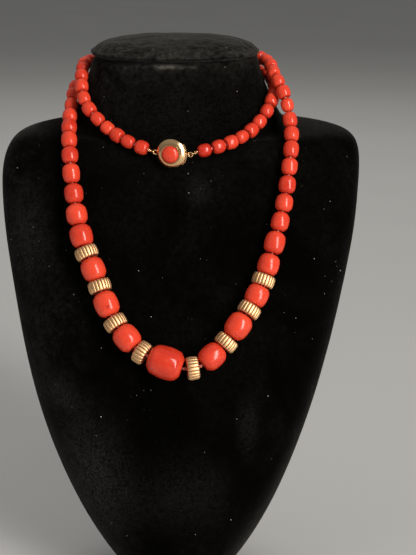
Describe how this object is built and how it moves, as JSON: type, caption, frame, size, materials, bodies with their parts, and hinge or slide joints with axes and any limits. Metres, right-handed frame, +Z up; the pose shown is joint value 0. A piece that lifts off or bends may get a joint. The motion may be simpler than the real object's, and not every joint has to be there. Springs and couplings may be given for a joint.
{
  "type": "coral necklace on a neck bust",
  "caption": "Long graduated coral bead necklace with fluted gold rondelles and a round box clasp, worn doubled round a plain velvet neck bust.",
  "frame": {"origin": "middle of the flat foot that the neck bust stands on", "axes": "+Z up the neck, +X to the right of a viewer who faces the chest, +Y to the back of the bust"},
  "size_m": [0.1882, 0.1286, 0.2902],
  "materials": {
    "coral": "polished orange-red coral",
    "gold": "polished pale gold",
    "silk": "knotted pinkish silk thread",
    "velvet": "black velvet with specks of lint",
    "cap_velvet": "black velvet"
  },
  "bodies": {
    "root": {"neck_bust": "velvet", "neck_cap": "cap_velvet", "thread": "silk", "clasp_box": "gold", "clasp_coral": "coral", "clasp_tongue": "gold", "end_loop_left": "gold", "end_loop_right": "gold", "coral_centre": "coral", "rondelle_left_1": "gold", "rondelle_left_2": "gold", "rondelle_left_3": "gold", "rondelle_left_4": "gold", "rondelle_right_1": "gold", "rondelle_right_2": "gold", "rondelle_right_3": "gold", "rondelle_right_4": "gold", "coral_left_1": "coral", "coral_left_2": "coral", "coral_left_3": "coral", "coral_left_4": "coral", "coral_left_5": "coral", "coral_left_6": "coral", "coral_left_7": "coral", "coral_left_8": "coral", "coral_left_9": "coral", "coral_left_10": "coral", "coral_left_11": "coral", "coral_left_12": "coral", "coral_right_1": "coral", "coral_right_2": "coral", "coral_right_3": "coral", "coral_right_4": "coral", "coral_right_5": "coral", "coral_right_6": "coral", "coral_right_7": "coral", "coral_right_8": "coral", "coral_right_9": "coral", "coral_right_10": "coral", "coral_right_11": "coral", "coral_right_12": "coral", "bead_string_left": "coral", "bead_string_right": "coral"}
  },
  "joints": []
}
